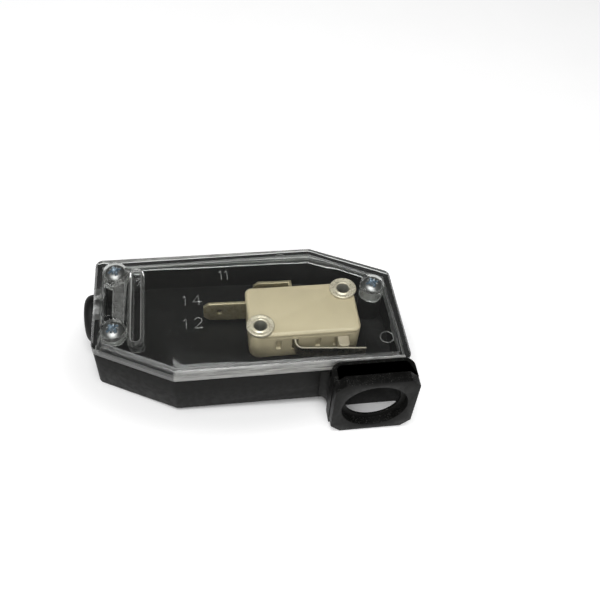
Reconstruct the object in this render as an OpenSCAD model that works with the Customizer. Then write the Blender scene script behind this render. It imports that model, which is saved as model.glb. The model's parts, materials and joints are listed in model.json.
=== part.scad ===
// Limit switch for a valve or damper: a flat six-sided housing with a clear
// screwed cover, a cable entry at one end, a threadless round mounting collar
// on the front, and a snap-action switch whose lever lies behind the collar.
//
// Housing coordinates: x = 0 at the cable end, y = 0 on the cover's front
// side, z = 0 under the base. Every module is then moved so that the origin is
// the centre of the collar's bore, on the collar's front face.
// The mounted stem comes in along +Y, and +Z points out of the clear cover.

/* [Housing] */
// Length of the housing
housing_l = 75.4; // [73:0.1:80]
// Depth of the housing
housing_w = 37.8; // [37.4:0.1:42]
// Length along X of the cut corner at the cable end
cut_front = 19; // [14:0.5:19]
// Length along X of the cut corner at the collar end
cut_back = 19.8; // [14:0.1:20]
// Depth of the two cut corners, along Y
cut_y = 9.8; // [7:0.1:9.8]
// Radius of the housing's upright corners
corner_r = 1.8; // [1:0.1:2.2]
// Thickness of the base's floor
floor_t = 1.8; // [1.4:0.1:2]
// Thickness of the base's walls
wall_t = 1.4; // [1.2:0.1:1.5]
// Height of the base's rim
rim_z = 11.3; // [11.1:0.1:11.4]

/* [Cover] */
// Height of the closed housing
cover_top = 14.8; // [14.6:0.1:16]
// Thickness of the cover's plate
cover_t = 1.8; // [1.4:0.1:2]
// Bevel along the cover's top edge
cover_bevel = 0.8; // [0.4:0.1:1]
// Diameter of the pockets that take the screw heads
pocket_d = 6; // [5.9:0.1:6.4]
// Outer diameter of the cover's screw bosses
boss_d = 6.4; // [6.2:0.1:6.8]
// Diameter of the screw heads
head_d = 5.6; // [5.4:0.1:5.8]
// Length of the screws under the head
screw_l = 8; // [6:1:10]

/* [Collar] */
// Width of the collar's plate
collar_w = 20; // [19:0.5:21]
// Height of the collar's plate
collar_h = 19.6; // [19:0.2:20]
// Distance from the housing to the collar's front face
collar_reach = 8.5; // [8:0.5:10]
// Thickness of the collar's plate
plate_t = 2.8; // [2.6:0.1:3.4]
// Diameter of the collar's bore
bore_d = 15.9; // [14.5:0.1:16]
// Diameter of the lip behind the bore
lip_d = 13.5; // [12.5:0.1:14]
// Thickness of the lip
lip_t = 0.7; // [0.5:0.1:1]
// Diameter of the hole that the stem passes through
stem_d = 5.2; // [4:0.1:6]

/* [Cable entry] */
// Outer diameter of the grommet
grommet_d = 12.2; // [12:0.1:13]
// Diameter of the cable hole
cable_d = 6.5; // [5:0.1:7]

/* [Snap-action switch] */
// Length of the switch body
switch_l = 27.8; // [27.8:0.1:28]
// Depth of the switch body
switch_w = 15.9; // [15.9:0.1:16]
// Thickness of the switch body
switch_h = 9.9; // [9.8:0.1:10.1]
// Spacing of the mounting holes along X
hole_dx = 22.2; // [22.1:0.1:22.3]
// Spacing of the mounting holes along Y
hole_dy = 10.3; // [10.2:0.1:10.4]
// Width of the tab terminals
tab_w = 6.35; // [6.2:0.05:6.4]
// Thickness of the tab terminals
tab_t = 0.8; // [0.7:0.1:0.8]
// Width of the lever
lever_w = 4; // [3.5:0.1:4.2]
// Thickness of the lever
lever_t = 0.4; // [0.3:0.05:0.5]
// How far the lever's free end stands past the switch body
lever_over = 0.8; // [0.5:0.1:2]

/* [Hidden] */
$fn = 64;

black = "#2b2b29";
clear = "#cfd6d4";
rubber = "#1d1d1d";
zinc = "#b9bcc2";
nickel = "#c9c7c0";
beige = "#cfc5a8";
brass = "#8c8463";
copper = "#b87f55";
silver_alloy = "#d8d8d4";

// Plan points of the housing, anticlockwise from the front right corner.
plan = [
    [housing_l, 0],
    [housing_l, housing_w - cut_y],
    [housing_l - cut_back, housing_w],
    [0, housing_w],
    [0, cut_y],
    [cut_front, 0],
];

base_inset = 0.1;                        // the base stands this far inside the cover
seal_t = 0.3;
skirt_z = rim_z + seal_t;                // underside of the cover's skirt
cover_under = cover_top - cover_t;
rib_gap = 0.1;
rib_t = 0.8;
rib_z = skirt_z - 1;                     // the locating rib reaches into the base
web_x = 4.9;                             // the cable clamp between the two posts
web_t = 2.5;
web_z = 11.05;
wire_rib_r = 2;
rib_wall = 0.9;
rib_foot = 10.3;

axis_z = 7.35;                           // height of the collar, the stem and the cable
bore_x = housing_l - collar_w / 2;
plate_back = -collar_reach + plate_t;
bore_depth = plate_t - lip_t;
collar_cut = 2.4;                        // cut corners of the collar's plate
collar_wall = 1.4;
collar_back = 1.2;                       // the wall nearest the base
collar_top = 15;
collar_bottom = axis_z - collar_h / 2;
collar_corner = 2.5;
tray_hole_d = 6.8;                       // width of the base's notch behind the collar

entry_y = 24;                            // where the cable comes in
neck_d = 10;
flange_in_d = 10.8;
grommet_reach = 2.6;
grommet_edge = 2;

// Screw places, the underside of their heads, and the joint between boss and post.
screws = [[5, housing_w - 4.8], [5, 14.4], [housing_l - 5.3, housing_w - 14.1]];
post_tops = [11, 11, 9.8];
seat_z = 12.9;
post_d = 6;
thread_d = 3;
head_h = 2.4;

// The switch body's corner nearest the cable end and the collar.
sw = [37.5, 10.9, floor_t];
sw_wall = 1;
sw_floor = sw.z + 1.2;
sw_lid_t = 1.5;
sw_edge = 0.5;                           // bevel along the switch's top edge
sw_top = sw.z + switch_h;
sw_split = sw_top - sw_lid_t;
hole_1 = [sw.x + 2.8, sw.y + 2.8];
hole_2 = [hole_1.x + hole_dx, hole_1.y + hole_dy];
eyelet_r = 2;
eyelet_bore_r = 1.6;
eyelet_flange_r = 3.45;
eyelet_rim = 0.85;
mid_z = sw.z + 5.15;                     // plane of the lever, the contacts and the tabs
tab_z = mid_z - tab_w / 2;

pivot = [sw.x + 11.3, sw.y + 0.65];      // the lever's pin axis
trunnion_r = 0.45;
trunnion_l = lever_w + 1.4;
lever_bend = 2;
lever_lean = 5;                          // degrees, away from the body at rest
plunger_x = sw.x + 23.3;
plunger_w = 2.8;
plunger_h = 4;
plunger_out = 3.1;
plunger_in = 3.7;
shoulder = 0.6;

blade_y = sw.y + 6.7;
blade_t = 0.25;
blade_w = 4.6;
blade_end = sw.x + 3.7;
anchor_x = sw.x + 26.5;
rivet_x = anchor_x - 1;
contact_x = sw.x + 4.8;
contact_gap = 1.3;
no_y = sw.y + 12.35;                     // middle of the normally open tab
common_y = sw.y + 18.75;                  // middle of the common tab
common_x = sw.x + 12;
pad_y = blade_y + 0.5;                   // front of the anchor pad
fixed_y = blade_y + 0.7 + contact_gap;   // face of the fixed contact

// ---- helpers ----

// Moves housing coordinates so that the origin is the collar bore's mouth.
module in_frame() {
    translate([-bore_x, collar_reach, -axis_z])
        children();
}

// Extrudes a shape drawn in X and Z from y0 to y1.
module along_y(y0, y1) {
    translate([0, y1, 0])
        rotate([90, 0, 0])
            linear_extrude(y1 - y0)
                children();
}

// Extrudes a shape drawn in X and Y from z0 to z1.
module up(z0, z1) {
    translate([0, 0, z0])
        linear_extrude(z1 - z0)
            children();
}

// A block between two corners.
module block(a, b) {
    translate(a)
        cube(b - a);
}

// A round bar along X between two x values.
module bar_x(x0, x1, y, z, d) {
    translate([x0, y, z])
        rotate([0, 90, 0])
            cylinder(d = d, h = x1 - x0);
}

// A round bar along Y between two y values.
module bar_y(y0, y1, x, z, d) {
    translate([x, y1, z])
        rotate([90, 0, 0])
            cylinder(d = d, h = y1 - y0);
}

function unit(v) = v / norm(v);

// The inner point of a rounded corner: the arc's centre.
function arc_centre(p, i, r) =
    let (n = len(p), a = unit(p[(i + n - 1) % n] - p[i]), b = unit(p[(i + 1) % n] - p[i]),
         half = acos(a * b) / 2)
    p[i] + unit(a + b) * r / sin(half);

// Where a rounded corner's arc meets the side towards point j.
function arc_foot(p, i, j, r) =
    let (n = len(p), d = unit(p[j] - p[i]), c = arc_centre(p, i, r))
    p[i] + d * ((c - p[i]) * d);

// A convex outline with rounded corners, moved inwards by a distance.
module outline(inset = 0) {
    n = len(plan);
    r = max(corner_r - inset, 0.3);
    p = [for (i = [0:n - 1]) arc_centre(plan, i, inset)];
    polygon([for (i = [0:n - 1]) each [
        arc_foot(p, i, (i + n - 1) % n, r),
        arc_foot(p, i, (i + 1) % n, r),
    ]]);
    for (i = [0:n - 1])
        translate(arc_centre(p, i, r))
            circle(r);
}

// A rectangle with its own radius at each corner, anticlockwise from the origin.
module rounded_rect(size, r) {
    c = [[0, 0], [size.x, 0], [size.x, size.y], [0, size.y]];
    s = [[1, 1], [-1, 1], [-1, -1], [1, -1]];
    polygon([for (i = [0:3])
        each (i % 2 == 0
            ? [c[i] + [0, s[i].y * r[i]], c[i] + [s[i].x * r[i], 0]]
            : [c[i] + [s[i].x * r[i], 0], c[i] + [0, s[i].y * r[i]]])]);
    for (i = [0:3])
        translate(c[i] + s[i] * r[i])
            circle(r[i]);
}

// ---- housing ----

module base_housing() {
    color(black) in_frame() difference() {
        union() {
            tray();
            for (i = [0:2])
                translate([screws[i].x, screws[i].y, floor_t - 0.2])
                    cylinder(d = post_d, h = post_tops[i] - floor_t + 0.2);
            cable_saddle();
        }
        for (s = screws)
            translate([s.x, s.y, floor_t + 0.4])
                cylinder(d = thread_d, h = rim_z);
        for (h = [hole_1, hole_2])
            translate([h.x, h.y, -1])
                cylinder(r = eyelet_r + 0.05, h = floor_t + 2);
        for (h = [hole_1, hole_2])
            translate([h.x, h.y, -1])
                cylinder(r = eyelet_flange_r - 0.3, h = 1.6);
        entry_notch();
        along_y(-1, 3)
            translate([bore_x, axis_z])
                notch_shape(tray_hole_d / 2);
    }
}

// U shape with flat facets, open upwards: a wall drops over it from above.
module notch_shape(r) {
    k = r / cos(15);
    polygon([[r, 2 * r], [-r, 2 * r], for (a = [195:30:345]) k * [cos(a), sin(a)]]);
}

// The end wall's notch, which the grommet's neck drops into before the cover goes on.
module entry_notch() {
    translate([-1, entry_y, axis_z])
        rotate([90, 0, 90])
            linear_extrude(4.2)
                notch_shape(neck_d / 2 + 0.02);
}

// Floor and walls.
module tray() {
    difference() {
        up(0, rim_z) outline(base_inset);
        up(floor_t, rim_z + 1) outline(base_inset + wall_t);
    }
}

// The low rib that the cable lies on, between the two posts at the cable end.
module cable_saddle() {
    difference() {
        block([web_x, screws[1].y, floor_t - 0.2], [web_x + web_t, screws[0].y, axis_z + 0.25]);
        bar_x(web_x - 1, web_x + web_t + 1, entry_y, axis_z, 6.2);
        block([web_x - 1, entry_y - 3.1, axis_z],
              [web_x + web_t + 1, entry_y + 3.1, axis_z + 1]);
    }
}

// Octagonal plate with the stepped bore, and the open box that joins it to the base.
module mounting_collar() {
    x0 = housing_l - collar_w;
    color(black) in_frame() difference() {
        union() {
            along_y(-collar_reach, plate_back)
                collar_plate();
            up(collar_bottom, collar_top)
                translate([x0, plate_back - 0.1])
                    collar_box();
            block([x0, -0.5, 0.6], [housing_l - corner_r - base_inset, base_inset, rim_z]);
            collar_fillet(x0);
        }
        bar_y(-collar_reach - 1, -collar_reach + bore_depth, bore_x, axis_z, bore_d);
        bar_y(-collar_reach, plate_back + 0.05, bore_x, axis_z, lip_d);
        bar_y(-3, 1, bore_x, axis_z, stem_d);
    }
}

module collar_plate() {
    x0 = housing_l - collar_w;
    z0 = collar_bottom;
    c = collar_cut;
    polygon([
        [x0 + c, z0], [housing_l - c, z0], [housing_l, z0 + c], [housing_l, z0 + collar_h - c],
        [housing_l - c, z0 + collar_h], [x0 + c, z0 + collar_h], [x0, z0 + collar_h - c], [x0, z0 + c],
    ]);
}

// Plan of the two side walls and the back wall, open towards the plate.
module collar_box() {
    depth = -plate_back - 0.1;
    difference() {
        rounded_rect([collar_w, depth], [0.2, 0.2, collar_corner, collar_corner]);
        translate([collar_wall, -1])
            rounded_rect([collar_w - 2 * collar_wall, depth - collar_back + 1],
                         [0.2, 0.2, collar_corner - collar_wall, collar_corner - collar_wall]);
    }
}

// Fillet in the corner between the collar's side and the base's front.
module collar_fillet(x0) {
    r = 2;
    up(0.6, rim_z)
        difference() {
            translate([x0 - r, -r])
                square([r + 0.3, r + base_inset]);
            translate([x0 - r, -r])
                circle(r);
        }
}

module cover_seal() {
    color(rubber) in_frame() difference() {
        up(rim_z, skirt_z) outline(base_inset + 0.1);
        up(rim_z - 1, skirt_z + 1) outline(base_inset + wall_t - 0.2);
        block([-1, entry_y - neck_d / 2, rim_z - 1], [3, entry_y + neck_d / 2, skirt_z + 1]);
    }
}

// ---- cover ----

module clear_cover() {
    color(clear, 0.35) in_frame() difference() {
        union() {
            cover_shell();
            cover_bosses();
            clamp_web();
            wire_rib();
        }
        for (s = screws) {
            translate([s.x, s.y, seat_z])
                cylinder(d = pocket_d, h = 5);
            translate([s.x, s.y, rib_z - 2])
                cylinder(d = thread_d + 0.4, h = 5);
        }
        up(cover_top - 0.8, cover_top + 1)
            translate([2.2, 18.6])
                rounded_rect([2.5, 10.2], [0.3, 0.3, 0.3, 0.3]);
        up(rib_foot + rib_wall, cover_top + 1) slot_shape(wire_rib_r - rib_wall);
        bar_x(-1, 3.4, entry_y, axis_z, neck_d + 0.1);
        bar_x(base_inset + wall_t - 0.1, 3.4, entry_y, axis_z, flange_in_d + 0.3);
    }
}

// Plate, skirt and the rib that locates the cover inside the base.
module cover_shell() {
    rib_in = base_inset + wall_t + rib_gap;
    difference() {
        union() {
            hull() {
                up(skirt_z, cover_top - cover_bevel) outline();
                up(cover_top - 0.01, cover_top) outline(cover_bevel);
            }
            up(rib_z, skirt_z + 0.1) outline(rib_in);
        }
        up(rib_z - 1, cover_under) outline(rib_in + rib_t);
        for (i = [0:1])
            translate([screws[i].x, screws[i].y, rib_z - 1])
                cylinder(d = post_d + 0.2, h = post_tops[i] + 1.2 - rib_z);
    }
}

// Sleeves for the screws, kept clear of the base's walls.
module cover_bosses() {
    intersection() {
        for (i = [0:2])
            translate([screws[i].x, screws[i].y, post_tops[i] + 0.05])
                cylinder(d = boss_d, h = cover_under - post_tops[i]);
        up(min(post_tops), cover_under + 1) outline(base_inset + wall_t + rib_gap);
    }
}

// The wall between the two bosses that presses on the cable.
module clamp_web() {
    difference() {
        block([web_x, screws[1].y, web_z], [web_x + web_t, screws[0].y, cover_under + 0.2]);
        bar_x(web_x - 1, web_x + web_t + 1, entry_y, axis_z, 6.4);
    }
}

// A long rib under the cover that holds the wires down, hollow from above.
module wire_rib() {
    up(rib_foot, cover_under + 0.2) slot_shape(wire_rib_r);
}

module slot_shape(r) {
    x = 10.4;
    y0 = 11.3;
    y1 = housing_w - 5.4;
    translate([x, y0])
        circle(r);
    translate([x, y1])
        circle(r);
    translate([x - r, y0])
        square([2 * r, y1 - y0]);
}

module cover_screw_back() cover_screw(screws[0], 20);
module cover_screw_front() cover_screw(screws[1], 35);
module cover_screw_right() cover_screw(screws[2], 10);

// Pan head with a cross recess, and a plain shank of the thread's size.
module cover_screw(place, turn) {
    color(zinc) in_frame() translate([place.x, place.y, seat_z]) rotate(turn) difference() {
        union() {
            pan_head();
            translate([0, 0, -screw_l])
                cylinder(d = thread_d - 0.1, h = screw_l + 0.1);
        }
        for (a = [0, 90])
            rotate(a)
                block([-1.5, -0.3, 1.1], [1.5, 0.3, 4]);
        translate([0, 0, 1.1])
            cylinder(d1 = 0.9, d2 = 2, h = 1.8);
    }
}

// A short cylinder under a low dome.
module pan_head() {
    rim_h = 1.1;
    rise = head_h - rim_h;
    r = (head_d * head_d / 4 + rise * rise) / (2 * rise);
    cylinder(d = head_d, h = rim_h);
    intersection() {
        translate([0, 0, head_h - r])
            sphere(r);
        translate([0, 0, rim_h - 0.01])
            cylinder(d = head_d, h = head_h);
    }
}

// ---- cable entry ----

// Turned rubber bush: an outer flange with a rounded edge, a neck and an inner flange.
module cable_grommet() {
    out_r = grommet_d / 2;
    color(rubber) in_frame() translate([0, entry_y, axis_z]) rotate([0, 90, 0]) difference() {
        union() {
            translate([0, 0, -grommet_reach])
                rotate_extrude()
                    flange_section(out_r);
            translate([0, 0, -0.5])
                cylinder(d = neck_d, h = 2.2);
            translate([0, 0, base_inset + wall_t])
                cylinder(d = flange_in_d, h = 1.3);
        }
        translate([0, 0, -grommet_reach - 1])
            cylinder(d = cable_d, h = 10);
    }
}

// Half of the outer flange's section, rounded at its outer end.
module flange_section(r) {
    edge = grommet_edge;
    points = [for (a = [-90:15:0]) [r - edge + edge * cos(a), edge + edge * sin(a)]];
    polygon([[0, 0], each points, [r, grommet_reach], [0, grommet_reach]]);
}

// ---- snap-action switch ----

module switch_plan(inset = 0) {
    translate([sw.x + inset, sw.y + inset])
        rounded_rect([switch_l - 2 * inset, switch_w - 2 * inset],
                     [2.8 - inset, 1.8 - inset, 2.8 - inset, 1.8 - inset]);
}

module switch_holes(r) {
    for (h = [hole_1, hole_2])
        translate(h)
            circle(r);
}

module switch_case() {
    color(beige) in_frame() difference() {
        union() {
            difference() {
                up(sw.z, sw_split) switch_plan();
                up(sw_floor, sw_split + 1) switch_plan(sw_wall);
            }
            up(sw.z + 0.5, sw_split)
                intersection() {
                    switch_holes(3.1);
                    switch_plan();
                }
            block([pivot.x - 2.2, sw.y + 0.5, sw.z + 0.5], [pivot.x + 2.2, sw.y + 2.6, sw_split]);
            block([sw.x + 6, sw.y + 0.5, sw.z + 0.5], [sw.x + 8, blade_y - 0.25, sw_split - 0.5]);
            block([common_x - 1.2, sw.y + switch_w - 0.5, sw.z + 0.6],
                  [common_x + 4.6, sw.y + switch_w + 0.7, sw_split]);
        }
        up(-1, sw_split + 1) switch_holes(eyelet_r + 0.05);
        plunger_hole();
        lever_seat();
        spare_slots();
        tab_slot([sw.x - 1, no_y]);
        block([common_x - tab_t / 2 - 0.05, sw.y + switch_w - 2, tab_z - 0.05],
              [common_x + tab_t / 2 + 0.05, sw.y + switch_w + 2, tab_z + tab_w + 0.05]);
    }
}

module plunger_hole() {
    gap = 0.06;
    block([plunger_x - plunger_w / 2 - gap, sw.y - 1, mid_z - plunger_h / 2 - gap],
          [plunger_x + plunger_w / 2 + gap, sw.y + sw_wall + 0.1, mid_z + plunger_h / 2 + gap]);
}

// The slot that the lever's bent end turns in, with a socket for the pin at each side.
module lever_seat() {
    block([pivot.x - 0.78, sw.y - 1, mid_z - lever_w / 2 - 0.2],
          [pivot.x + 0.78, pivot.y + 0.8, mid_z + lever_w / 2 + 0.2]);
    translate([pivot.x, pivot.y, mid_z - trunnion_l / 2 - 0.1])
        cylinder(r = trunnion_r + 0.05, h = trunnion_l + 0.2);
}

// Two blind slots for other lever positions, and a narrow one beside the plunger.
module spare_slots() {
    for (slot = [[6.6, 1.2], [16.5, 1.3], [21.1, 0.6]])
        block([sw.x + slot[0], sw.y - 1, mid_z - 1.8],
              [sw.x + slot[0] + slot[1], sw.y + 0.8, mid_z + 1.9]);
}

// A slot in the switch's end wall for a tab.
module tab_slot(place) {
    block([place.x, place.y - tab_t / 2 - 0.05, tab_z - 0.05],
          [place.x + 2.5, place.y + tab_t / 2 + 0.05, tab_z + tab_w + 0.05]);
}

module switch_case_lid() {
    color(beige) in_frame() difference() {
        hull() {
            up(sw_split, sw_top - sw_edge) switch_plan();
            up(sw_top - 0.01, sw_top) switch_plan(sw_edge);
        }
        up(0, 20) switch_holes(eyelet_r + 0.05);
    }
}

module eyelet_front() eyelet(hole_1);
module eyelet_back() eyelet(hole_2);

// Hollow rivet through the switch and the base's floor.
module eyelet(place) {
    lip_r = eyelet_flange_r - 0.35;
    edge = 0.35;
    color(nickel) in_frame() translate([place.x, place.y, 0]) difference() {
        union() {
            translate([0, 0, 0.1])
                cylinder(r = eyelet_r, h = sw_top + eyelet_rim - 0.1);
            translate([0, 0, sw_top])
                cylinder(r = eyelet_flange_r, h = eyelet_rim - edge);
            translate([0, 0, sw_top + eyelet_rim - edge])
                cylinder(r1 = eyelet_flange_r, r2 = lip_r, h = edge);
            translate([0, 0, 0.1])
                cylinder(r = eyelet_flange_r - 0.4, h = 0.45);
        }
        translate([0, 0, -1])
            cylinder(r = eyelet_bore_r, h = 20);
        translate([0, 0, sw_top + eyelet_rim - 0.6])
            cylinder(r1 = eyelet_bore_r, r2 = eyelet_bore_r + 0.75, h = 0.61);
    }
}

// Flat strip with a curled end that carries the pin; it leans out to its free end.
module switch_lever() {
    bend = [pivot.x + lever_bend, pivot.y - 1.3];
    strip_l = sw.x + switch_l + lever_over - bend.x;
    color(nickel) in_frame() {
        up(mid_z - lever_w / 2, mid_z + lever_w / 2) {
            translate(pivot)
                circle(0.7);
            translate([pivot.x - lever_t / 2, bend.y - 0.01])
                square([lever_t, pivot.y - bend.y]);
            intersection() {
                difference() {
                    translate(bend)
                        circle(lever_bend + lever_t / 2);
                    translate(bend)
                        circle(lever_bend - lever_t / 2);
                }
                translate(bend - [5, 5])
                    square([5.01, 5.01]);
            }
            translate([bend.x, bend.y - lever_bend])
                rotate(-lever_lean)
                    translate([-0.05, -lever_t / 2])
                        square([strip_l, lever_t]);
        }
        translate([pivot.x, pivot.y, mid_z - trunnion_l / 2])
            cylinder(r = trunnion_r, h = trunnion_l);
    }
}

module switch_plunger() {
    y0 = sw.y - plunger_out;
    y1 = sw.y + plunger_in;
    seat = sw.y + sw_wall + 0.1;
    nose = 0.7;
    color("#e8e2d0") in_frame() {
        up(mid_z - plunger_h / 2, mid_z + plunger_h / 2)
            polygon([
                [plunger_x - plunger_w / 2 + nose, y0], [plunger_x + plunger_w / 2 - nose, y0],
                [plunger_x + plunger_w / 2, y0 + nose], [plunger_x + plunger_w / 2, y1],
                [plunger_x - plunger_w / 2, y1], [plunger_x - plunger_w / 2, y0 + nose],
            ]);
        block([plunger_x - plunger_w / 2 - shoulder, seat, mid_z - plunger_h / 2 - shoulder],
              [plunger_x + plunger_w / 2 + shoulder, seat + 0.9, mid_z + plunger_h / 2 + shoulder]);
    }
}

// Outline of a tab's free end, 0 at the tip, with cut corners.
module tab_end(length) {
    c = 1.2;
    polygon([[c, 0], [length, 0], [length, tab_w], [c, tab_w], [0, tab_w - c], [0, c]]);
}

module terminal_open() {
    tip_x = sw.x - 10.5;
    step_x = sw.x + 2.4;
    color(brass) in_frame() difference() {
        union() {
            along_y(no_y - tab_t / 2, no_y + tab_t / 2)
                translate([tip_x, tab_z])
                    tab_end(step_x - tip_x + tab_t);
            block([step_x, fixed_y + 0.6, mid_z - 2.4], [step_x + tab_t, no_y + tab_t / 2, mid_z + 2.4]);
            block([step_x, fixed_y + 0.6, mid_z - 2.4],
                  [contact_x + 1.8, fixed_y + 0.6 + tab_t, mid_z + 2.4]);
        }
        bar_y(no_y - 1, no_y + 1, tip_x + 3.9, mid_z, 1.6);
        bar_y(fixed_y, fixed_y + 2, contact_x, mid_z, 1.2);
    }
}

module contact_fixed() {
    color(silver_alloy) in_frame() {
        bar_y(fixed_y, fixed_y + 0.6, contact_x, mid_z, 2.6);
        bar_y(fixed_y + 0.3, fixed_y + 0.6 + tab_t, contact_x, mid_z, 1.2);
    }
}

// Tab behind the switch, the leg through its back wall, and the strip to the anchor pad.
module terminal_common() {
    tip_x = sw.x + 2.5;
    leg_x = anchor_x - 6.2;
    inner_y = sw.y + switch_w - 2.6;
    color(brass) in_frame() difference() {
        union() {
            along_y(common_y - tab_t / 2, common_y + tab_t / 2)
                translate([tip_x, tab_z])
                    tab_end(common_x + tab_t / 2 - tip_x);
            block([common_x - tab_t / 2, inner_y, tab_z],
                  [common_x + tab_t / 2, common_y + tab_t / 2, tab_z + tab_w]);
            block([common_x - tab_t / 2, inner_y, mid_z - 2.4],
                  [leg_x, inner_y + tab_t, mid_z + 2.4]);
            block([leg_x - tab_t, pad_y, mid_z - 2.4], [leg_x, inner_y + tab_t, mid_z + 2.4]);
            block([leg_x - tab_t, pad_y, mid_z - 2.4], [rivet_x + 1.2, pad_y + tab_t, mid_z + 2.4]);
        }
        bar_y(common_y - 1, common_y + 1, tip_x + 3.9, mid_z, 1.6);
        bar_y(pad_y - 1, pad_y + 2, rivet_x, mid_z, 1);
    }
}

module blade_rivet() {
    color(brass) in_frame() {
        bar_y(blade_y - 0.5, blade_y - 0.25, rivet_x, mid_z, 2);
        bar_y(blade_y - 0.3, pad_y + tab_t, rivet_x, mid_z, 1);
        bar_y(pad_y + tab_t, pad_y + tab_t + 0.3, rivet_x, mid_z, 1.8);
    }
}

// Thin blade with a long window that the snap spring works in.
module moving_blade() {
    color(copper) in_frame() difference() {
        along_y(blade_y - blade_t / 2, blade_y + blade_t / 2)
            difference() {
                translate([blade_end, mid_z - blade_w / 2])
                    square([anchor_x - blade_end, blade_w]);
                translate([sw.x + 9.3, mid_z - 1.25])
                    square([12, 2.5]);
            }
        bar_y(blade_y - 1, blade_y + 1, rivet_x, mid_z, 1.6);
        bar_y(blade_y - 1, blade_y + 1, contact_x, mid_z, 1);
    }
}

module contact_moving() {
    color(silver_alloy) in_frame() {
        bar_y(blade_y - 0.6, blade_y - blade_t / 2, contact_x, mid_z, 2.2);
        bar_y(blade_y - 0.2, blade_y + 0.2, contact_x, mid_z, 1);
        bar_y(blade_y + blade_t / 2, blade_y + 0.7, contact_x, mid_z, 2.2);
    }
}

// Bowed leaf between the blade's window and the common terminal.
module snap_spring() {
    r = 7;
    half = 4.5;
    x = sw.x + 14.9;
    y = blade_y + 0.5;
    drop = sqrt(r * r - half * half);
    color(copper) in_frame() up(mid_z - 0.9, mid_z + 0.9)
        intersection() {
            difference() {
                translate([x, y + drop])
                    circle(r + 0.1);
                translate([x, y + drop])
                    circle(r - 0.1);
            }
            translate([x - half, y - 4])
                square([2 * half, 4]);
        }
}

base_housing();
mounting_collar();
clear_cover();
cover_seal();
cover_screw_back();
cover_screw_front();
cover_screw_right();
cable_grommet();
switch_case();
switch_case_lid();
eyelet_front();
eyelet_back();
switch_lever();
switch_plunger();
terminal_open();
contact_fixed();
terminal_common();
blade_rivet();
moving_blade();
contact_moving();
snap_spring();
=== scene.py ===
import json
import math

import bmesh
import bpy
from mathutils import Matrix, Vector


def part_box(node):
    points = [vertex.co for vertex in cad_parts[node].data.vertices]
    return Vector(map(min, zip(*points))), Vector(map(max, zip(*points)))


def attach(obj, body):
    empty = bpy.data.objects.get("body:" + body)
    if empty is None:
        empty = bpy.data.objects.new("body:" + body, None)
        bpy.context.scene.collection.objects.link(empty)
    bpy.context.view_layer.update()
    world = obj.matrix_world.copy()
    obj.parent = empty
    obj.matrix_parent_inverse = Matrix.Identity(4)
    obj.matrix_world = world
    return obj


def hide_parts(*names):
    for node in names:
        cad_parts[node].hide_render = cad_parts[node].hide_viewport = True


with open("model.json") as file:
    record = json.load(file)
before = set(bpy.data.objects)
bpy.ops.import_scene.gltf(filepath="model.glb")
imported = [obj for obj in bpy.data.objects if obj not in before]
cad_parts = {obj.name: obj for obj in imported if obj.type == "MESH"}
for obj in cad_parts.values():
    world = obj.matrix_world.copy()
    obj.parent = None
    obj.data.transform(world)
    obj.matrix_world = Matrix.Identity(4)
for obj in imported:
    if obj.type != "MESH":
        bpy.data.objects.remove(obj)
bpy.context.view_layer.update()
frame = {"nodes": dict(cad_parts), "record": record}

MM = 0.001
NODES = frame["nodes"]
SLOTS = {sub["node"]: sub["material_slot"] for sub in frame["record"]["subparts"]}
BODIES = {node: body for body, nodes in frame["record"]["behaviour"]["bodies"].items() for node in nodes}
scene = bpy.context.scene

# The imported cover's box, and the underside of its plate.
COVER_LOW, COVER_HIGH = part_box("clear_cover")
COVER_PLATE_T = 1.8 * MM
UNDERSIDE = COVER_HIGH.z - COVER_PLATE_T

# Size of the outline's two cut corners: along Y, and along X at the front and at the back.
CUT_Y, CUT_FRONT, CUT_BACK = 9.8, 19.0, 19.8

# Lines along Y that the cover's features follow, as x, first y and last y. Plan places on the
# cover are in millimetres from the low corner of its box.
WIRE_RIB = (10.4, 11.3, 32.4)
CABLE_WEB = (6.15, 17.5, 30)

# How far each cover screw's recess is turned, in degrees.
SCREW_TURNS = {"cover_screw_back": 20, "cover_screw_front": 35, "cover_screw_right": 10}


# ---- camera ----

def make_camera():
    """A view from the front and half above, a little rolled."""
    place = Vector((-37.43, -88.97, 147.85)) * MM
    turn, dip, roll = (math.radians(a) for a in (11.04, 49.66, 4.73))
    look = Vector((math.sin(turn) * math.cos(dip), math.cos(turn) * math.cos(dip), -math.sin(dip)))
    right = Vector((math.cos(turn), -math.sin(turn), 0))
    up = right.cross(look)
    x = math.cos(roll) * right + math.sin(roll) * up
    y = math.cos(roll) * up - math.sin(roll) * right
    data = bpy.data.cameras.new("camera")
    data.sensor_width = 36
    data.lens = 44.18
    data.clip_start = 0.01
    data.clip_end = 5
    camera = bpy.data.objects.new("camera", data)
    camera.matrix_world = Matrix.Translation(place) @ Matrix((x, y, -look)).transposed().to_4x4()
    scene.collection.objects.link(camera)
    scene.camera = camera


# ---- shader helpers ----

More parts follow.
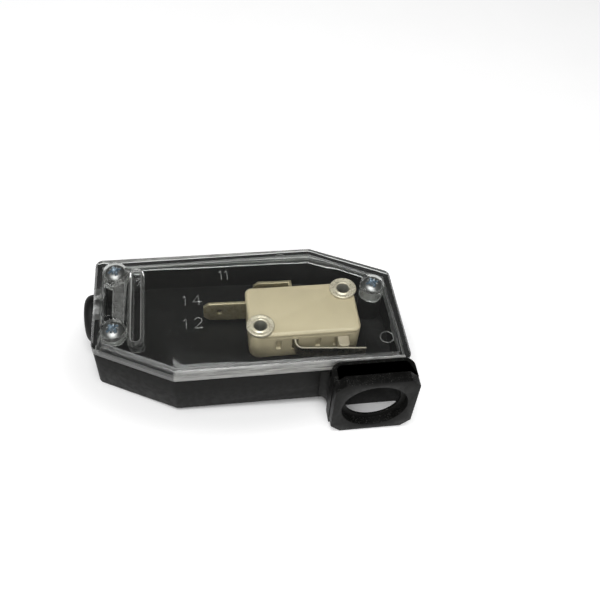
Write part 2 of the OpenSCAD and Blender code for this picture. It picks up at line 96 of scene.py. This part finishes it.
class Shader:
    """A material's node tree, with short calls that add a node and link it."""

    def __init__(self, name):
        self.material = bpy.data.materials.new(name)
        self.material.use_nodes = True
        self.tree = self.material.node_tree
        self.tree.nodes.clear()
        coords = self.add("ShaderNodeTexCoord")
        self.place = coords.outputs["Object"]
        self.normal = coords.outputs["Normal"]

    def add(self, kind, inputs=None, **settings):
        node = self.tree.nodes.new(kind)
        for name, value in settings.items():
            setattr(node, name, value)
        for name, value in (inputs or {}).items():
            if isinstance(value, bpy.types.NodeSocket):
                self.tree.links.new(value, node.inputs[name])
            else:
                node.inputs[name].default_value = value
        return node

    def axes(self, vector):
        """A vector's three parts, to be picked by "X", "Y" or "Z"."""
        return self.add("ShaderNodeSeparateXYZ", {0: vector}).outputs

    def vector_math(self, operation, a, b=(0, 0, 0)):
        return self.add("ShaderNodeVectorMath", {0: a, 1: b}, operation=operation).outputs

    def math(self, operation, first, *others):
        """One operation run along the values, from left to right."""
        result = first
        for value in others or (0.0,):
            result = self.add("ShaderNodeMath", {0: result, 1: value}, operation=operation).outputs[0]
        return result

    def times(self, *values):
        return self.math("MULTIPLY", *values)

    def plus(self, *values):
        return self.math("ADD", *values)

    def minus(self, a, b):
        return self.math("SUBTRACT", a, b)

    def noise(self, cell, stretch=(1, 1, 1), detail=3.0, rough=0.6):
        """Noise from 0 to 1 whose cells are about so many metres across."""
        at = self.add("ShaderNodeMapping", {"Vector": self.place, "Scale": stretch}).outputs[0]
        node = self.add("ShaderNodeTexNoise",
                        {"Vector": at, "Scale": 1 / cell, "Detail": detail, "Roughness": rough})
        return node.outputs["Fac"]

    def ramp(self, value, low, high, to_low=0.0, to_high=1.0):
        """The value moved from one range to another, smoothly, and held at the ends."""
        node = self.add("ShaderNodeMapRange", {"Value": value, "From Min": low, "From Max": high,
                                               "To Min": to_low, "To Max": to_high},
                        interpolation_type="SMOOTHSTEP")
        return node.outputs["Result"]

    def blend(self, factor, a, b):
        """Colour a where the factor is 0, colour b where it is 1."""
        a, b = ((*c, 1) if isinstance(c, tuple) else c for c in (a, b))
        return self.add("ShaderNodeMix", {0: factor, 6: a, 7: b}, data_type="RGBA").outputs[2]

    def bump(self, height, depth, strength=1.0, after=None):
        """A normal bent by a height; the one given as after is bent first."""
        inputs = {"Height": height, "Distance": depth, "Strength": strength}
        if after is not None:
            inputs["Normal"] = after
        return self.add("ShaderNodeBump", inputs).outputs["Normal"]

    def principled(self, **inputs):
        """The main surface shader; an underscore stands for a space in a socket's name."""
        names = {key.replace("_", " "): value for key, value in inputs.items()}
        for name, value in names.items():
            if isinstance(value, tuple) and len(value) == 3:
                names[name] = (*value, 1)
        return self.add("ShaderNodeBsdfPrincipled", names).outputs[0]

    def diffuse(self, colour):
        return self.add("ShaderNodeBsdfDiffuse", {"Color": (*colour, 1)}).outputs[0]

    def mix(self, factor, a, b):
        """Surface a where the factor is 0, surface b where it is 1."""
        return self.add("ShaderNodeMixShader", {0: factor, 1: a, 2: b}).outputs[0]

    def finish(self, surface):
        self.add("ShaderNodeOutputMaterial", {"Surface": surface})
        return self.material

    def finish_clear(self, surface):
        """As finish, but light passes straight through on its way to what is behind."""
        shadow = self.add("ShaderNodeLightPath").outputs["Is Shadow Ray"]
        through = self.add("ShaderNodeBsdfTransparent").outputs[0]
        return self.finish(self.mix(shadow, surface, through))


# ---- materials ----

def black_plastic():
    """Satin moulded plastic, with a fine spark-eroded grain and faint flow marks."""
    s = Shader("black_plastic")
    flow = s.noise(4 * MM, (1, 1, 2.5), 4)
    grain = s.noise(0.16 * MM, detail=2)
    dust = s.ramp(s.noise(0.3 * MM, detail=1), 0.74, 0.8)
    colour = s.blend(flow, (0.004, 0.004, 0.0037), (0.0072, 0.0072, 0.0066))
    colour = s.blend(s.times(dust, 0.4), colour, (0.04, 0.04, 0.037))
    rough = s.ramp(s.noise(1.4 * MM), 0.3, 0.7, 0.4, 0.54)
    return s.finish(s.principled(Base_Color=colour, Roughness=rough, Specular_IOR_Level=0.11,
                                 Normal=s.bump(grain, 0.02 * MM, 0.35)))


def collar_plastic():
    """The base's plastic with a torn, speckled skin on the faces that look up, and painted light that makes
    the faces looking to the front a little paler.
    """
    s = Shader("collar_plastic")
    normal = s.axes(s.normal)
    facing_up = s.ramp(normal["Z"], 0.25, 0.8)
    front_painted_light = s.ramp(s.times(normal["Y"], -1.0), 0.5, 0.9)
    pits = s.ramp(s.noise(0.28 * MM, detail=4, rough=0.7), 0.53, 0.68)
    torn = s.times(facing_up, pits, s.ramp(s.noise(2.2 * MM), 0.35, 0.6))
    colour = s.blend(s.noise(3 * MM), (0.003, 0.003, 0.0028), (0.006, 0.006, 0.0056))
    # Painted light: faces that look to the front (-Y) are painted a little paler.
    colour = s.blend(s.times(front_painted_light, 0.5), colour, (0.008, 0.008, 0.0072))
    colour = s.blend(s.times(torn, 0.7), colour, (0.14, 0.14, 0.132))
    rough = s.plus(s.ramp(s.noise(1.2 * MM), 0.3, 0.7, 0.38, 0.52), s.times(torn, 0.3))
    fine = s.bump(s.noise(0.16 * MM, detail=2), 0.02 * MM, 0.3)
    return s.finish(s.principled(Base_Color=colour, Roughness=rough, Specular_IOR_Level=0.08,
                                 Normal=s.bump(torn, 0.12 * MM, 0.8, fine)))


def rubber(name, shade):
    """Matt black rubber with a dry bloom."""
    s = Shader(name)
    bloom = s.ramp(s.noise(1.1 * MM, detail=5, rough=0.7), 0.45, 0.75)
    colour = s.blend(s.times(bloom, 0.6), (shade, shade, shade * 0.97),
                     (shade * 2.4, shade * 2.4, shade * 2.3))
    rough = s.ramp(bloom, 0, 1, 0.55, 0.75)
    return s.finish(s.principled(Base_Color=colour, Roughness=rough, Specular_IOR_Level=0.2,
                                 Normal=s.bump(s.noise(0.22 * MM, detail=3), 0.03 * MM, 0.4)))


def moulded(name, colour, dirt, rough=0.42):
    """Light moulded plastic: soft orange peel, small specks and pale scuffs."""
    s = Shader(name)
    cloud = s.noise(5 * MM, detail=4)
    darker, paler, scuffed = (tuple(min(1, c * share) for c in colour) for share in (0.93, 1.1, 1.35))
    specks = s.ramp(s.noise(0.34 * MM, detail=1), 0.72, 0.78)
    scuffs = s.ramp(s.noise(1.3 * MM, (0.35, 1.6, 1), 5, 0.75), 0.6, 0.75)
    tint = s.blend(cloud, darker, paler)
    tint = s.blend(s.times(specks, 0.35), tint, dirt)
    tint = s.blend(s.times(scuffs, 0.3), tint, scuffed)
    gloss = s.ramp(s.noise(1.8 * MM), 0.3, 0.7, rough - 0.07, rough + 0.08)
    peel = s.bump(s.noise(0.7 * MM, detail=2), 0.02 * MM, 0.35)
    return s.finish(s.principled(Base_Color=tint, Roughness=gloss,
                                 Normal=s.bump(s.noise(0.12 * MM, detail=2), 0.01 * MM, 0.3, peel)))


def plated(name, colour, stain, rough, grain=(1, 1, 1), tarnish=0.35, relief=0.5, metal=1.0):
    """Plated or rolled metal: fine drawn lines, cloudy tarnish and uneven gloss."""
    s = Shader(name)
    lines = s.noise(0.12 * MM, grain, 3)
    cloud = s.ramp(s.noise(1.5 * MM, detail=5, rough=0.65), 0.42, 0.72)
    tint = s.blend(s.times(cloud, tarnish), colour, stain)
    tint = s.blend(s.times(lines, 0.25), tint, tuple(c * 0.7 for c in colour))
    gloss = s.plus(s.ramp(lines, 0.3, 0.7, rough - 0.05, rough + 0.06), s.times(cloud, 0.12))
    return s.finish(s.principled(Base_Color=tint, Roughness=gloss, Metallic=metal,
                                 Normal=s.bump(lines, 0.008 * MM, relief)))


def frosted(name, amount):
    """The cover's plastic with a frosted skin, as raised marks have."""
    s = Shader(name)
    glass = s.principled(Base_Color=(0.9, 0.92, 0.91), Roughness=0.25, IOR=1.49, Transmission_Weight=1.0,
                         Normal=s.bump(s.noise(0.15 * MM), 0.02 * MM, 0.5))
    uneven = s.ramp(s.noise(0.6 * MM, detail=3), 0.3, 0.7, amount * 0.6, amount * 1.3)
    return s.finish_clear(s.mix(uneven, glass, s.diffuse((0.8, 0.8, 0.78))))


def floor_surface():
    """Matt and pale. A faint glow starts away from the part, so that the shade near it stays."""
    s = Shader("floor")
    tint = s.blend(s.noise(30 * MM), (0.9, 0.9, 0.9), (0.93, 0.93, 0.93))
    from_part = s.add("ShaderNodeMapping", {"Vector": s.place, "Location": (-35 * MM, -45 * MM, 0),
                                            "Scale": (1, 1.8, 1)}).outputs[0]
    glow = s.ramp(s.vector_math("LENGTH", from_part)["Value"], 34 * MM, 58 * MM)
    return s.finish(s.principled(Base_Color=tint, Roughness=0.85, Specular_IOR_Level=0.2,
                                 Emission_Color=s.blend(glow, (0, 0, 0), tint), Emission_Strength=0.4))


# ---- the clear cover's plastic, whose haze, painted shade and painted light depend on the place ----

def outline_depth(s):
    """How far a point lies inside the cover's six-sided outline, in millimetres."""
    low, high = COVER_LOW, COVER_HIGH
    sides = [((-1, 0), low), ((1, 0), high), ((0, -1), low), ((0, 1), high),
             ((-CUT_Y, -CUT_FRONT), low + Vector((0, CUT_Y, 0)) * MM),
             ((CUT_Y, CUT_BACK), high - Vector((0, CUT_Y, 0)) * MM)]
    depths = []
    for outward, point in sides:
        n = Vector((*outward, 0)).normalized()
        along = s.vector_math("DOT_PRODUCT", s.place, n)["Value"]
        depths.append(s.times(s.minus(n.dot(point), along), 1 / MM))
    return s.math("MINIMUM", *depths)


def from_line(s, x, y0, y1):
    """Distance in plan, in millimetres, from a line along Y on the cover."""
    at = s.axes(s.vector_math("SUBTRACT", s.place, COVER_LOW)["Vector"])
    across = s.minus(s.times(at["X"], 1 / MM), x)
    along = s.times(at["Y"], 1 / MM)
    past = s.math("MAXIMUM", s.minus(y0, along), s.minus(along, y1), 0.0)
    return s.math("SQRT", s.plus(s.times(across, across), s.times(past, past)))


def rib_haze_and_highlight(s, height):
    """The long rib's walls are a little milky, with pale lines along its edges that are painted highlights.
    """
    away = from_line(s, *WIRE_RIB)
    wall = s.times(s.ramp(away, 0.85, 1.0), s.ramp(away, 2.2, 2.05))
    upper = s.ramp(height, COVER_HIGH.z - 0.5 * MM, COVER_HIGH.z - 0.3 * MM)
    below = s.ramp(height, COVER_HIGH.z - 0.1 * MM, COVER_HIGH.z - 0.2 * MM)
    lower = s.ramp(height, UNDERSIDE - 2.2 * MM, UNDERSIDE - 2.4 * MM)
    # Painted highlight: pale lines along the rib's upper edges.
    rim = s.times(s.ramp(s.math("ABSOLUTE", s.minus(away, 1.15)), 0.2, 0.1), upper)
    return s.plus(s.times(wall, below, 0.01), s.times(wall, lower, 0.07), s.times(rim, 0.28))


def painted_side_light(s, place, normal):
    """Painted light: the skirt's front, back and left faces get a milky skin that reads as bright bands,
    the back one fading to the right.
    """
    aside = s.times(s.math("ABSOLUTE", normal["X"]), 2.0)
    upper = s.ramp(place["Z"], COVER_HIGH.z, COVER_HIGH.z - 0.08 * MM)
    fading = s.ramp(place["X"], COVER_LOW.x, COVER_HIGH.x - 10 * MM, 0.8, 0.25)
    front = s.times(s.ramp(s.minus(s.times(normal["Y"], -1.0), aside), 0.5, 0.65), upper)
    back = s.times(s.ramp(s.minus(normal["Y"], aside), 0.5, 0.65), upper, fading)
    left = s.times(s.ramp(s.times(normal["X"], -1.0), 0.8, 0.95), 0.3)
    return s.plus(front, back, left)


def boss_haze(s, under):
    """Cloudy plastic in the screw sleeves and in the web that clamps the cable."""
    shapes = [s.ramp(from_line(s, *CABLE_WEB), 1.5, 1.3)]
    for screw in SCREW_TURNS:
        low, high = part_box(screw)
        centre = ((low + high) / 2 - COVER_LOW) / MM
        shapes.append(s.ramp(from_line(s, centre.x, centre.y, centre.y), 3.5, 3.3))
    cloudy = s.ramp(s.noise(0.8 * MM, detail=4), 0.35, 0.65, 0.5, 1.3)
    return s.times(s.plus(*shapes), under, cloudy, 0.16)


def clear_plastic():
    """Clear acrylic: a polished plate with light scratches, and a hazy, streaked skirt whose glass is
    tinted dark as painted shade.
    """
    s = Shader("clear_plastic")
    place, normal = s.axes(s.place), s.axes(s.normal)
    height = place["Z"]
    below = s.ramp(height, COVER_HIGH.z - 0.7 * MM, COVER_HIGH.z - 1.0 * MM)
    under = s.ramp(height, UNDERSIDE + 0.1 * MM, UNDERSIDE - 0.1 * MM)
    depth = outline_depth(s)
    edge = s.times(s.ramp(depth, 1.9, 1.5), below)
    skirt = s.times(s.ramp(depth, 2.8, 2.4), below)
    streaks = s.ramp(s.noise(0.5 * MM, (0.1, 0.1, 2.2), 5, 0.75), 0.36, 0.62)
    scratches = s.times(s.ramp(s.noise(0.2 * MM, (0.05, 1, 1), 2), 0.66, 0.72),
                        s.ramp(s.noise(6 * MM), 0.45, 0.6))
    rough = s.plus(s.times(skirt, 0.22), s.times(scratches, 0.12), s.times(under, 0.04), 0.015)
    # Painted shade: the glass in the skirt is tinted dark grey.
    tint = s.blend(s.times(skirt, 0.7), (0.88, 0.9, 0.885), (0.2, 0.21, 0.2))
    ripple = s.bump(s.noise(3.5 * MM, detail=1), 0.02 * MM, 0.12)
    relief = s.bump(s.times(streaks, edge), 0.03 * MM, 0.4, ripple)
    glass = s.principled(Base_Color=tint, Roughness=rough, IOR=1.49, Transmission_Weight=1.0, Normal=relief)
    haze = s.add("ShaderNodeBsdfTranslucent", {"Color": (0.9, 0.9, 0.87, 1)}).outputs[0]
    skin = s.mix(0.6, haze, s.diffuse((0.85, 0.85, 0.82)))
    edge_haze = s.times(edge, s.plus(s.times(streaks, 0.1), 0.015))
    # Painted light: a milky skin near the outer faces, only on those that look front, back and left.
    rim_painted_light = s.times(s.ramp(depth, 1.2, 0.9), painted_side_light(s, place, normal),
                       s.plus(s.times(streaks, 0.4), 0.08))
    amount = s.plus(edge_haze, rib_haze_and_highlight(s, height), rim_painted_light, boss_haze(s, under))
    return s.finish_clear(s.mix(s.math("MINIMUM", amount, 0.8), glass, skin))


def make_materials():
    return {
        "base_plastic": black_plastic(),
        "collar_plastic": collar_plastic(),
        "cover_plastic": clear_plastic(),
        "cover_mark": frosted("cover_mark", 0.14),
        "seal_rubber": rubber("seal_rubber", 0.006),
        "grommet_rubber": rubber("grommet_rubber", 0.006),
        "screw_zinc": plated("screw_zinc", (0.33, 0.34, 0.33), (0.2, 0.2, 0.19), 0.34, grain=(3, 3, 1)),
        "recess_blue": plated("recess_blue", (0.46, 0.54, 0.6), (0.16, 0.2, 0.23), 0.24, metal=0.85),
        "case_beige": moulded("case_beige", (0.36, 0.31, 0.205), (0.12, 0.095, 0.06)),
        "plunger_cream": moulded("plunger_cream", (0.25, 0.215, 0.15), (0.1, 0.085, 0.06), 0.4),
        "eyelet_nickel": plated("eyelet_nickel", (0.56, 0.51, 0.4), (0.46, 0.41, 0.31), 0.26,
                                grain=(0.4, 0.4, 2), tarnish=0.1, relief=0.02, metal=0.5),
        # Painted shade: the rivet's bore is coloured darker than its flange.
        "eyelet_bore_shade": plated("eyelet_bore_shade", (0.3, 0.29, 0.25), (0.15, 0.14, 0.12), 0.45, metal=0.6),
        "lever_steel": plated("lever_steel", (0.5, 0.46, 0.38), (0.26, 0.22, 0.16), 0.26,
                              grain=(0.1, 1, 2), relief=0.1),
        "lever_edge": plated("lever_edge", (0.36, 0.33, 0.26), (0.2, 0.17, 0.12), 0.5,
                             tarnish=0.4, relief=0.3, metal=0.3),
        "terminal_brass": plated("terminal_brass", (0.56, 0.5, 0.34), (0.24, 0.19, 0.1), 0.45,
                                 grain=(0.1, 1, 2), tarnish=0.5),
        "contact_silver": plated("contact_silver", (0.8, 0.8, 0.78), (0.4, 0.38, 0.34), 0.25),
        "blade_copper": plated("blade_copper", (0.6, 0.36, 0.2), (0.3, 0.15, 0.08), 0.3, grain=(0.1, 1, 2)),
    }


MATERIALS = make_materials()


# ---- mesh helpers ----

def mesh_from(bm, name, *materials):
    """A mesh made from the bmesh, which is freed."""
    mesh = bpy.data.meshes.new(name)
    for material in materials:
        mesh.materials.append(MATERIALS[material])
    bm.to_mesh(mesh)
    bm.free()
    return mesh


def add_piece(name, mesh, node, smooth_below=38):
    """Puts a mesh in the scene as a piece that stands for a CAD node and rides with it.

    Edges that bend by fewer degrees than smooth_below are shaded smooth."""
    piece = bpy.data.objects.new(name, mesh)
    scene.collection.objects.link(piece)
    bm = bmesh.new()
    bm.from_mesh(mesh)
    for face in bm.faces:
        face.smooth = True
    for edge in bm.edges:
        edge.smooth = edge.calc_face_angle(math.pi) < math.radians(smooth_below)
    bm.to_mesh(mesh)
    bm.free()
    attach(piece, BODIES[node])
    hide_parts(node)
    return piece


def flat_areas(bm):
    """The edges inside each flat area of a triangle mesh, leaving out areas with holes in them."""
    limit = math.radians(0.5)
    seen, areas = set(), []
    for start in bm.faces:
        if start in seen:
            continue
        seen.add(start)
        area, inner, rim, queue = [start], set(), [], [start]
        while queue:
            face = queue.pop()
            for edge in face.edges:
                others = [f for f in edge.link_faces if f is not face]
                if not others or edge.calc_face_angle(math.pi) > limit:
                    rim.append(edge)
                    continue
                inner.add(edge)
                if others[0] not in seen:
                    seen.add(others[0])
                    area.append(others[0])
                    queue.append(others[0])
        corners = {v for f in area for v in f.verts}
        if len(corners) - len(inner) - len(rim) + len(area) == 1:
            areas.append(inner)
    return areas


def refined(node, bevel, material=None, lift=0):
    """A CAD node's own shape with its sharp edges rounded, to stand in its place.

    The bevel can throw a thin spike, so each point is held inside the node's own box. The
    highest points are then raised by lift, to touch what lies on them."""
    bm = bmesh.new()
    bm.from_mesh(NODES[node].data)
    low = [min(v.co[i] for v in bm.verts) for i in range(3)]
    high = [max(v.co[i] for v in bm.verts) for i in range(3)]
    bmesh.ops.remove_doubles(bm, verts=bm.verts, dist=0.0005 * MM)
    inner = [e for area in flat_areas(bm) for e in area]
    verts = {v for e in inner for v in e.verts}
    bmesh.ops.dissolve_limit(bm, angle_limit=math.radians(1), verts=list(verts), edges=inner)
    sharp = [e for e in bm.edges if e.is_manifold and e.calc_face_angle() > math.radians(32)]
    bmesh.ops.bevel(bm, geom=sharp, offset=bevel, offset_type="OFFSET", segments=2,
                    profile=0.5, affect="EDGES", clamp_overlap=False)
    bmesh.ops.triangulate(bm, faces=[f for f in bm.faces if len(f.verts) > 4])
    for vert in bm.verts:
        vert.co = [min(max(c, a), b) for c, a, b in zip(vert.co, low, high)]
        if vert.co.z > high[2] - 0.01 * MM:
            vert.co.z += lift
    name = node + "_detail"
    return add_piece(name, mesh_from(bm, name, material or SLOTS[node]), node)


def arc(centre, radius, start, end, steps):
    """Points of an arc, in degrees."""
    angles = [math.radians(start + (end - start) * i / steps) for i in range(steps + 1)]
    return [(centre[0] + radius * math.cos(a), centre[1] + radius * math.sin(a)) for a in angles]


def ring(bm, radius, heights):
    """A ring of vertices about Z, one for each height in the list."""
    verts = []
    for i, z in enumerate(heights):
        a = 2 * math.pi * i / len(heights)
        verts.append(bm.verts.new((radius * math.cos(a), radius * math.sin(a), z)))
    return verts


def join_rings(bm, inner, outer):
    """The faces between two rings with the same number of vertices."""
    for i in range(len(inner)):
        j = (i + 1) % len(inner)
        bm.faces.new((inner[i], outer[i], outer[j], inner[j]))


def lathe(name, profile, *materials):
    """A closed profile of (radius, height) points, in millimetres, turned about Z."""
    steps = 96
    bm = bmesh.new()
    rings = [ring(bm, r * MM, [z * MM] * steps) for r, z in profile]
    for inner, outer in zip(rings, rings[1:] + rings[:1]):
        join_rings(bm, inner, outer)
    bmesh.ops.recalc_face_normals(bm, faces=bm.faces)
    return mesh_from(bm, name, *materials)


# ---- turned and stamped pieces ----

def make_eyelet(node):
    """Hollow rivet: a dished flange with a rolled rim round the hole, and a duller bore painted darker as
    shade.
    """
    low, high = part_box(node)
    top, bottom = high.z / MM, low.z / MM
    outer = (high.x - low.x) / 2 / MM
    hole, tube = 1.6, 2.0
    seat = top - 0.85
    rim_r, lip_r = 0.28, 0.32
    profile = [(hole, bottom + 0.15), (hole + 0.15, bottom), (outer - 0.5, bottom),
               (outer - 0.4, bottom + 0.1), (outer - 0.45, bottom + 0.4), (tube, bottom + 0.45),
               (tube, seat), (outer - 0.1, seat), (outer, seat + 0.1)]
    profile += arc((outer - rim_r, top - 0.3), rim_r, 0, 90, 5)
    profile += [(outer - 0.6, top - 0.06), (tube + 0.5, top - 0.2), (tube + 0.28, top - 0.22)]
    profile += arc((hole + lip_r, top - lip_r), lip_r, 60, 180, 7)
    name = node + "_turned"
    mesh = lathe(name, profile, "eyelet_nickel", "eyelet_bore_shade")
    # Faces inside the bore take the darker bore material, which is painted shade.
    bore_r, bore_top = (hole + 0.05) * MM, high.z - 0.45 * MM
    for face in mesh.polygons:
        spot = face.center
        face.material_index = int(math.hypot(spot.x, spot.y) < bore_r and spot.z < bore_top)
    centre = (low + high) / 2
    mesh.transform(Matrix.Translation((centre.x, centre.y, 0)))
    add_piece(name, mesh, node, 50)


def recess_depth(r, angle):
    """Depth of a cross recess with small ticks between its wings, in millimetres."""
    depth = 0
    for turn, reach, width, deep in ((0, 1.7, 0.4, 0.95), (45, 1.45, 0.2, 0.5)):
        a = angle - math.radians(turn)
        u, v = abs(r * math.cos(a)), abs(r * math.sin(a))
        for along, across in ((u, v), (v, u)):
            side = min(1, max(0, (width - across) / 0.12))
            end = min(1, max(0, (reach - along) / 0.45))
            depth = max(depth, deep * side * end)
    return depth


def screw_head(bm, radius, rim, rise, spin, steps):
    """Rings over a domed head with its recess, from the middle out."""
    count = 34
    angles = [2 * math.pi * j / steps - spin for j in range(steps)]
    rings = []
    for i in range(1, count + 1):
        r = (radius - 0.05) * i / count
        dome = rim + rise * math.sqrt(1 - (r / radius) ** 2.6) if i < count else rim
        rings.append(ring(bm, r, [dome - recess_depth(r, a) for a in angles]))
    return rings


def screw_shank(seat, bottom):
    """The (radius, height) points of a threaded shank, from the head down."""
    core, crest, pitch = 1.32, 1.45, 0.5
    points = [(crest, seat)]
    z = seat - pitch
    while z > bottom + 1.2:
        points += [(core, z), (crest, z - 0.2), (crest, z - 0.26), (core, z - 0.46)]
        z -= pitch
    return points + [(core, bottom + 0.8), (0.7, bottom)]


def make_screw(node, turn):
    """Pan head with a recess, and a shank with thread ridges, worked in millimetres."""
    low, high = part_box(node)
    centre = (low + high) / 2
    radius = (high.x - low.x) / 2 / MM
    top, bottom = high.z / MM, low.z / MM
    rise, head_h, steps = 1.45, 2.4, 144
    seat, rim = top - head_h, top - rise
    spin = math.radians(turn)
    bm = bmesh.new()
    hub = bm.verts.new((0, 0, top - recess_depth(0, 0)))
    rings = screw_head(bm, radius, rim, rise, spin, steps)
    outline = [(radius, rim - 0.1), (radius, seat + 0.1), (radius - 0.1, seat)] + screw_shank(seat, bottom)
    rings += [ring(bm, r, [z] * steps) for r, z in outline]
    tip = bm.verts.new((0, 0, bottom))
    for inner, outer in zip(rings, rings[1:]):
        join_rings(bm, inner, outer)
    for j in range(steps):
        k = (j + 1) % steps
        bm.faces.new((hub, rings[0][j], rings[0][k]))
        bm.faces.new((tip, rings[-1][k], rings[-1][j]))
    for face in bm.faces:
        spot = face.calc_center_median()
        angle = math.atan2(spot.y, spot.x) - spin
        in_recess = recess_depth(math.hypot(spot.x, spot.y), angle) > 0.15
        face.material_index = int(spot.z > seat and in_recess)
    name = node + "_detail"
    mesh = mesh_from(bm, name, "screw_zinc", "recess_blue")
    mesh.transform(Matrix.Translation((centre.x, centre.y, 0)) @ Matrix.Scale(MM, 4))
    add_piece(name, mesh, node, 45)


def make_grommet():
    """Turned rubber bush: a full, rounded outer flange, a neck and an inner flange."""
    node = "cable_grommet"
    low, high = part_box(node)
    centre = (low + high) / 2
    radius = (high.z - low.z) / 2 / MM
    length = (high.x - low.x) / MM
    hole, neck, inner = 3.25, 5.0, 5.4
    flange, edge, neck_end = 2.6, 1.9, 4.1
    profile = [(hole, 0.3), (hole + 0.3, 0)]
    profile += arc((radius - edge, edge), edge, -90, 0, 12)
    profile += [(radius, flange - 0.25), (radius - 0.25, flange), (neck, flange), (neck, neck_end),
                (inner, neck_end), (inner, length - 0.2), (inner - 0.2, length), (hole + 0.2, length),
                (hole, length - 0.2)]
    name = node + "_turned"
    mesh = lathe(name, profile, "grommet_rubber")
    along_x = Matrix.Rotation(math.radians(90), 4, "Y")
    mesh.transform(Matrix.Translation((low.x, centre.y, centre.z)) @ along_x)
    add_piece(name, mesh, node, 50)


def make_lever():
    """The lever's strip, with a duller cut edge facing up."""
    lever = refined("switch_lever", 0.06 * MM)
    lever.data.materials.append(MATERIALS["lever_edge"])
    for face in lever.data.polygons:
        face.material_index = int(face.normal.z > 0.5)


# ---- marks on the cover's underside ----

def strokes(name, lines, thickness, closed=False):
    """Raised rounded lines under the cover's plate, sunk into it a little, as one curve object."""
    curve = bpy.data.curves.new(name, "CURVE")
    curve.dimensions = "3D"
    curve.bevel_depth = thickness
    curve.bevel_resolution = 2
    curve.use_fill_caps = True
    sunk = 0.005 * MM
    for points in lines:
        spline = curve.splines.new("POLY")
        spline.points.add(len(points) - 1)
        for point, (x, y) in zip(spline.points, points):
            point.co = (COVER_LOW.x + x * MM, COVER_LOW.y + y * MM, UNDERSIDE - thickness + sunk, 1)
        spline.use_cyclic_u = closed
    curve.materials.append(MATERIALS["cover_mark"])
    piece = bpy.data.objects.new(name, curve)
    scene.collection.objects.link(piece)
    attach(piece, BODIES["clear_cover"])


def digit(kind, x, y):
    """A thin single-line digit, 3.1 mm high, centred on a point."""
    shapes = {
        "1": [(-0.55, 0.75), (0.1, 1.35), (0.1, -1.55)],
        "2": arc((0, 0.65), 0.9, 165, -30, 10) + [(-0.95, -1.55), (1.0, -1.55)],
        "4": [(0.45, -1.55), (0.45, 1.55), (-1.05, -0.65), (1.1, -0.65)],
    }
    return [(x + px, y + py) for px, py in shapes[kind]]


def make_cover_marks():
    """Plain terminal numbers beside the tabs, and the witness rings of the ejector pins."""
    numbers = (("11", 32.5, 30.5, 1.5), ("14", 23.9, 22.7, 3.0), ("12", 23.9, 15.4, 3.0))
    for text, x, y, pitch in numbers:
        places = zip(text, (x - pitch / 2, x + pitch / 2))
        strokes("cover_number_" + text, [digit(kind, at, y) for kind, at in places], 0.08 * MM)
    for i, centre in enumerate(((47.6, 34.8), (70.6, 7.0))):
        strokes(f"ejector_ring_{i}", [arc(centre, 1.65, 0, 345, 23)], 0.05 * MM, closed=True)


# ---- stage ----

def add_light(name, place, target, size, power):
    data = bpy.data.lights.new(name, "AREA")
    data.shape = "DISK"
    data.size = size
    data.energy = power
    lamp = bpy.data.objects.new(name, data)
    lamp.location = place
    lamp.rotation_euler = (Vector(target) - Vector(place)).to_track_quat("-Z", "Y").to_euler()
    scene.collection.objects.link(lamp)


def make_floor():
    """A pale floor that the collar's lower corner and the cable end both rest on."""
    base_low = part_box("base_housing")[0]
    collar_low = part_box("mounting_collar")[0]
    foot_x = collar_low.x + 0.3 * MM
    slope = math.atan2(base_low.z - collar_low.z, foot_x - base_low.x)
    bm = bmesh.new()
    bmesh.ops.create_grid(bm, x_segments=8, y_segments=8, size=2)
    mesh = mesh_from(bm, "floor")
    mesh.materials.append(floor_surface())
    floor = bpy.data.objects.new("floor", mesh)
    floor.location = (base_low.x, 0, base_low.z - 0.02 * MM)
    floor.rotation_euler = (0, slope, 0)
    scene.collection.objects.link(floor)


def make_stage():
    """The floor, two soft lamps and a dim, even sky."""
    world = bpy.data.worlds.new("world")
    scene.world = world
    world.use_nodes = True
    sky = world.node_tree.nodes["Background"]
    sky.inputs["Color"].default_value = (1, 1, 1, 1)
    sky.inputs["Strength"].default_value = 0.1
    middle = (-0.03, 0.01, 0)
    add_light("key", (-0.1, -0.1, 0.6), middle, 0.42, 2.6)
    add_light("front", (-0.04, -0.5, 0.35), middle, 0.6, 2.1)
    make_floor()
    scene.view_settings.view_transform = "Standard"


# ---- the part ----

def paint_cad_node(node):
    """A part inside the switch, shown as the CAD node's own mesh."""
    NODES[node].data.materials.clear()
    NODES[node].data.materials.append(MATERIALS[SLOTS[node]])


make_camera()

refined("base_housing", 0.22 * MM)
refined("mounting_collar", 0.18 * MM, "collar_plastic")
refined("clear_cover", 0.14 * MM)
refined("switch_case", 0.1 * MM)
refined("switch_case_lid", 0.16 * MM)
refined("switch_plunger", 0.15 * MM)
refined("cover_seal", 0.03 * MM, lift=0.015 * MM)
make_lever()
refined("terminal_open", 0.08 * MM)
refined("terminal_common", 0.08 * MM)
for eyelet in ("eyelet_front", "eyelet_back"):
    make_eyelet(eyelet)
for screw, turn in SCREW_TURNS.items():
    make_screw(screw, turn)
make_grommet()
make_cover_marks()
for inside in ("contact_fixed", "blade_rivet", "moving_blade", "contact_moving", "snap_spring"):
    paint_cad_node(inside)

make_stage()
